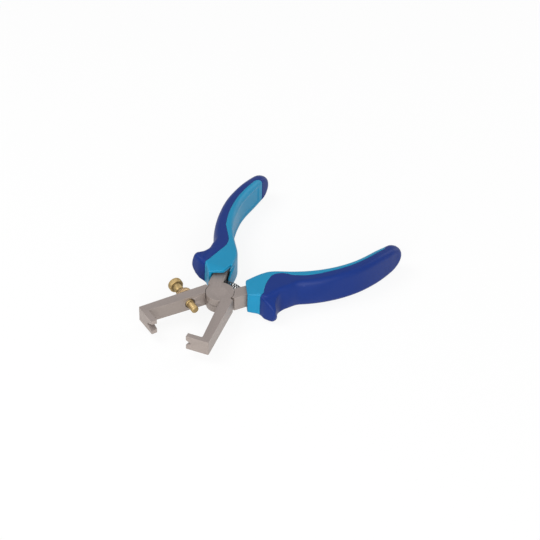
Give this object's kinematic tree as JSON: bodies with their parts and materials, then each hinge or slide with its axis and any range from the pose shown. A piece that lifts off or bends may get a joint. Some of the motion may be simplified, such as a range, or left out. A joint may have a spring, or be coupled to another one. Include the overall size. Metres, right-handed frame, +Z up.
{
  "type": "wire stripper",
  "caption": "Pliers-type end wire stripper with V-notched jaws, adjusting screw with lock nut, return spring and two-tone sleeved handles.",
  "frame": {"origin": "on the pivot axis at the underside of the steel head, where the tool's head would lie on a raised flat surface", "axes": "+X from the jaws to the handles along the tool, +Y towards the plain lever's handle, +Z up along the pivot axis"},
  "size_m": [0.1492, 0.1146, 0.02],
  "materials": {
    "head_steel": "satin ground",
    "spring_steel": "blackened wire",
    "screw_brass": "turned",
    "light_core": "satin moulded",
    "dark_sleeve": "soft moulded"
  },
  "bodies": {
    "screw_side": {"screw_lever": "head_steel", "pivot_rivet": "head_steel", "return_spring": "spring_steel", "screw_side_grip_core": "light_core", "screw_side_grip_sleeve": "dark_sleeve"},
    "plain_side": {"plain_lever": "head_steel", "plain_side_grip_core": "light_core", "plain_side_grip_sleeve": "dark_sleeve"},
    "screw": {"adjusting_screw": "screw_brass"},
    "nut": {"lock_nut": "screw_brass"}
  },
  "joints": [
    {"name": "handle_pivot", "type": "hinge", "parent": "screw_side", "child": "plain_side", "pos_m": [0, 0, 0.0047], "axis": [0, 0, -1], "range_deg": [-6, 36], "stiffness_Nm_per_rad": 0.35, "deforming": ["return_spring"]},
    {"name": "screw_feed", "type": "slide", "parent": "screw_side", "child": "screw", "axis": [0.3545, 0.9351, 0], "range_m": [-0.0006, 0.005]},
    {"name": "nut_feed", "type": "slide", "parent": "screw_side", "child": "nut", "axis": [0.3545, 0.9351, 0], "range_m": [0, 0.003]}
  ]
}
